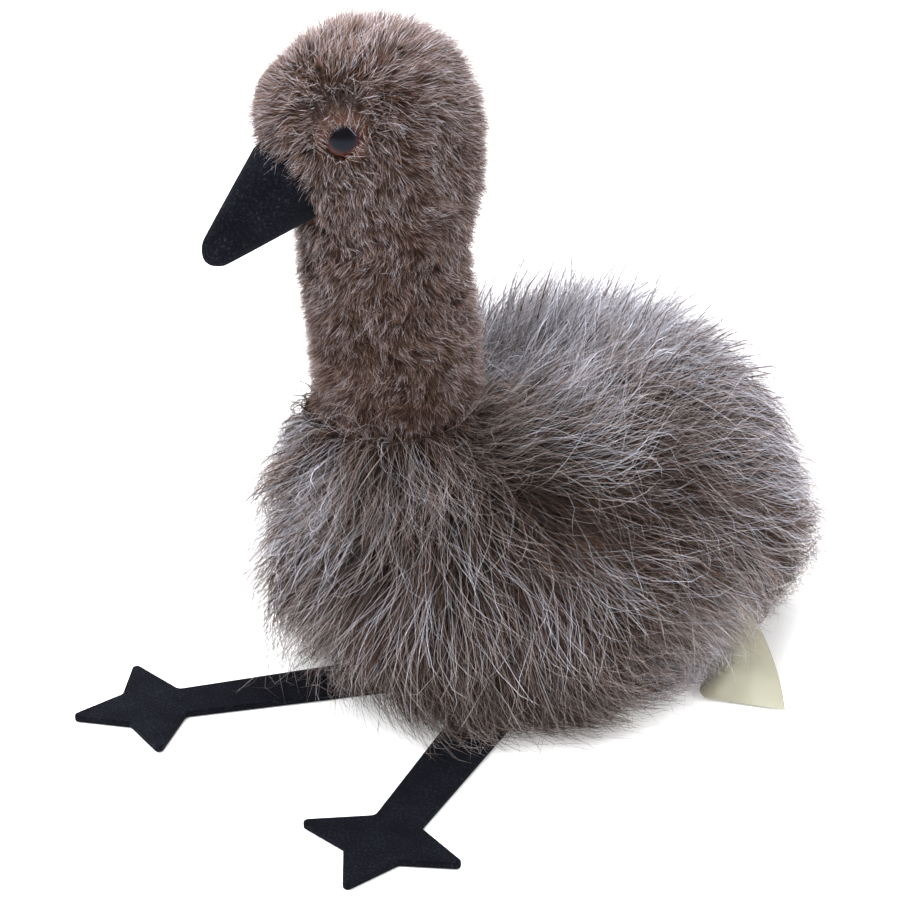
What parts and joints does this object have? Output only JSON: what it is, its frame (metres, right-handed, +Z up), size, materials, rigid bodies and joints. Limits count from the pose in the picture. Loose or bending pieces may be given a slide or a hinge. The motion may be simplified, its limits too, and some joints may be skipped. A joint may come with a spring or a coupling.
{
  "type": "plush toy emu",
  "caption": "Seated plush toy emu with a round head, short thick neck, shaggy long-pile body and flat felt beak, legs and feet.",
  "frame": {"origin": "middle of the body's flat underside, on the surface that the toy sits on", "axes": "the toy faces -Y, its left side is towards +X, +Z up"},
  "size_m": [0.1427, 0.2219, 0.196],
  "materials": {
    "long_pile": "long tangled faux fur, dark brown at the root and silver at the tips",
    "short_pile": "short brown plush pile with pale tips",
    "felt": "matte near-black felt",
    "eye": "glossy domed button, black with a dark reddish-brown edge",
    "ribbon": "cream satin ribbon, folded, left bare"
  },
  "bodies": {
    "root": {"torso": "long_pile", "neck": "short_pile", "head": "short_pile", "beak": "felt", "eye_left": "eye", "eye_right": "eye", "leg_left": "felt", "leg_right": "felt", "foot_left": "felt", "foot_right": "felt", "label": "ribbon"}
  },
  "joints": []
}
